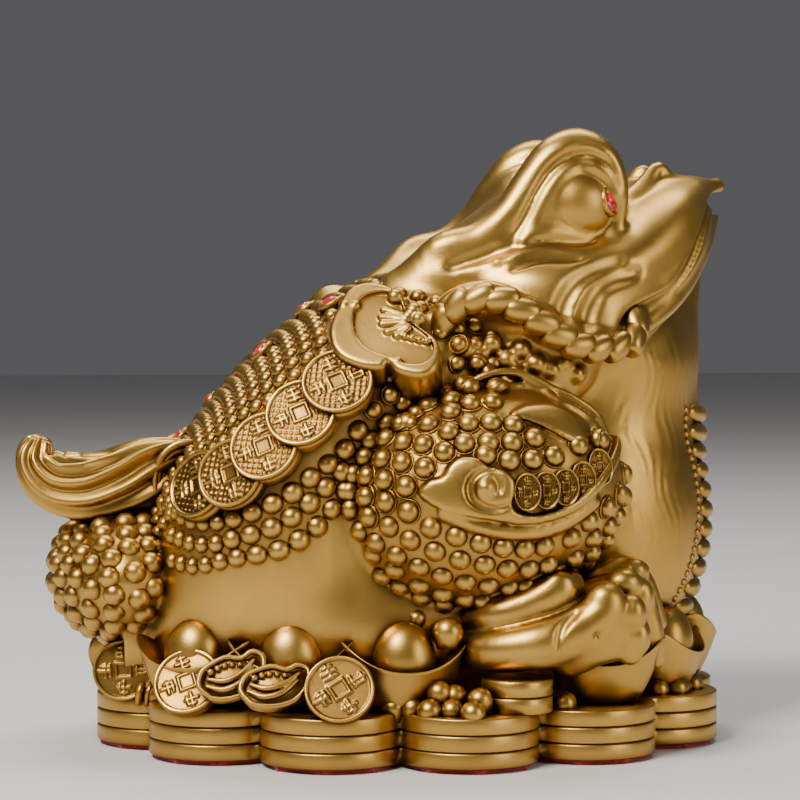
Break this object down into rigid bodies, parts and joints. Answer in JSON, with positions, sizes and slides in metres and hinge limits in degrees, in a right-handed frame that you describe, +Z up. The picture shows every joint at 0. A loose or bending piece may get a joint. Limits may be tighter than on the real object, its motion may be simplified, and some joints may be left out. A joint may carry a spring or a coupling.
{
  "type": "money toad figure",
  "caption": "Cast brass three-legged money toad crouching on a ring of stacked coins and ingots, with a warty back, raised head, red glass eyes and a felt-covered underside.",
  "frame": {"origin": "centre of the coin ring, on the underside of the felt pad", "axes": "+Z up, +X the way the toad faces, +Y the toad's left"},
  "size_m": [0.2521, 0.1904, 0.2151],
  "materials": {
    "brass": "satin",
    "felt": "felt",
    "red_glass": "faceted"
  },
  "bodies": {
    "root": {"toad_casting": "brass", "felt_pad": "felt", "right_eye_stone": "red_glass", "left_eye_stone": "red_glass", "back_stone_1": "red_glass", "back_stone_2": "red_glass", "back_stone_3": "red_glass", "back_stone_4": "red_glass", "back_stone_5": "red_glass", "back_stone_6": "red_glass", "back_stone_7": "red_glass"}
  },
  "joints": []
}
